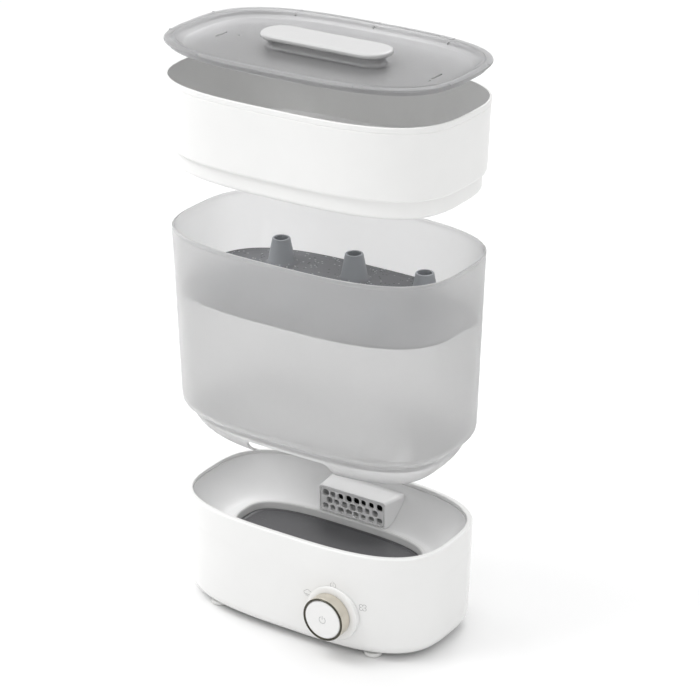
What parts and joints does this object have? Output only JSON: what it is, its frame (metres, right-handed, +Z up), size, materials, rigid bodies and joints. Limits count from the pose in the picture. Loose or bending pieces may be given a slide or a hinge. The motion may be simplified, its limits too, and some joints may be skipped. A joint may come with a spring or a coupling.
{
  "type": "bottle sterilizer",
  "caption": "Electric steam bottle steriliser and dryer, lifted apart: base with heater, vent and turning selector, frosted basket with cone tray, upper basket and lid.",
  "frame": {"origin": "middle of the whole object's plan, on the surface it stands on", "axes": "+Z up, +X along the long side to the user's right, -Y towards the user and the knob"},
  "size_m": [0.292, 0.1784, 0.5525],
  "materials": {
    "white_gloss": "high gloss moulded ABS",
    "white_satin": "satin moulded polypropylene",
    "white_matt": "fine matt moulded plastic",
    "tub_grey": "satin moulded polypropylene",
    "heater_coating": "non-stick coated plate",
    "silicone": "moulded silicone",
    "frosted": "frosted translucent polypropylene",
    "lid_grey": "frosted translucent polypropylene",
    "tray_grey": "speckled moulded polypropylene",
    "champagne_metal": "brushed and anodised",
    "dark_trim": "dark plated edge",
    "steel": "bright steel",
    "black": "black moulded plastic",
    "fan_grey": "grey moulded plastic",
    "filter_foam": "open foam pad",
    "board_green": "solder mask"
  },
  "bodies": {
    "base": {"outer_housing": "white_gloss", "inner_tub": "tub_grey", "vent_hood": "tub_grey", "vent_grille": "tub_grey", "bottom_cover": "white_matt", "foot_front_left": "white_matt", "foot_front_right": "white_matt", "foot_rear_left": "white_matt", "foot_rear_right": "white_matt", "cover_screw_1": "steel", "cover_screw_2": "steel", "cover_screw_3": "steel", "cover_screw_4": "steel", "heater_plate": "heater_coating", "heater_seal": "silicone", "heater_element": "steel", "thermostat": "steel", "fan_shroud": "black", "fan_motor": "steel", "air_duct": "black", "air_filter": "filter_foam", "control_board": "board_green", "selector_switch": "black", "tact_switch": "black", "power_inlet": "black", "knob_bezel": "white_gloss"},
    "filter_door": {"filter_cover": "white_gloss"},
    "fan": {"fan_impeller": "fan_grey"},
    "knob": {"knob_ring": "champagne_metal", "knob_trim": "dark_trim", "knob_shaft": "fan_grey", "button_spring": "steel"},
    "button": {"power_button": "white_gloss"},
    "lower_basket": {"large_basket": "frosted", "basket_skirt": "frosted", "large_basket_floor": "frosted"},
    "tray": {"bottle_tray": "tray_grey"},
    "upper_basket": {"small_basket": "white_satin", "small_basket_floor": "white_satin"},
    "lid": {"lid_panel": "lid_grey", "lid_handle_cap": "white_satin"}
  },
  "joints": [
    {"name": "lower_basket_lift", "type": "slide", "parent": "base", "child": "lower_basket", "axis": [0, 0, 1], "range_m": [-0.0888, 0]},
    {"name": "tray_lift", "type": "slide", "parent": "lower_basket", "child": "tray", "axis": [0, 0, 1], "range_m": [0, 0.15]},
    {"name": "upper_basket_lift", "type": "slide", "parent": "tray", "child": "upper_basket", "axis": [0, 0, 1], "range_m": [-0.0746, 0]},
    {"name": "lid_lift", "type": "slide", "parent": "upper_basket", "child": "lid", "axis": [0, 0, 1], "range_m": [-0.0302, 0]},
    {"name": "knob_turn", "type": "hinge", "parent": "base", "child": "knob", "pos_m": [0.0547, -0.07555, 0.043], "axis": [0, -1, 0], "range_deg": [-60, 60]},
    {"name": "power_press", "type": "slide", "parent": "knob", "child": "button", "axis": [0, 1, 0], "range_m": [0, 0.0012], "stiffness_N_per_m": 400, "springref_m": -0.001},
    {"name": "fan_spin", "type": "hinge", "parent": "base", "child": "fan", "pos_m": [-0.024, 0.05875, 0.038], "axis": [0, 1, 0], "continuous": true},
    {"name": "filter_cover_pull", "type": "slide", "parent": "base", "child": "filter_door", "axis": [0, 1, 0], "range_m": [0, 0.03]}
  ]
}
